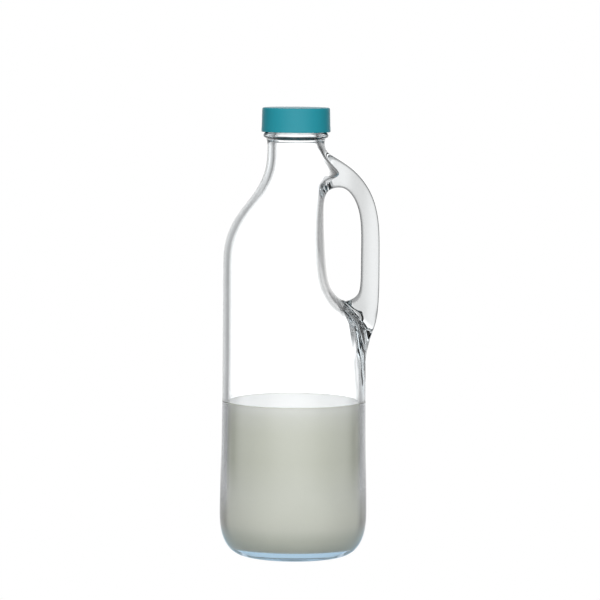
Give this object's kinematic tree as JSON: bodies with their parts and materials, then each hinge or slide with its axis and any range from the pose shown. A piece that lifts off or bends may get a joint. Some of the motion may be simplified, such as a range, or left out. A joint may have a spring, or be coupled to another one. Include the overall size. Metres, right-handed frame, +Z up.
{
  "type": "glass milk carafe with handle",
  "caption": "Clear glass carafe with a formed grip handle, a screw cap and a part filling of milk; stands on its flat base.",
  "frame": {"origin": "centre of the flat base on the bottle's own axis, on the surface that it stands on", "axes": "+Z up along the bottle's axis, +X towards the handle, +Y across the finger gap"},
  "size_m": [0.1038, 0.0968, 0.2938],
  "materials": {
    "clear_glass": "clear smooth container glass, faintly blue where it is thick",
    "teal_plastic": "satin moulded plastic, teal",
    "milk": "smooth white milk, slightly cool and translucent"
  },
  "bodies": {
    "root": {"bottle": "clear_glass", "cap": "teal_plastic", "milk": "milk"}
  },
  "joints": []
}
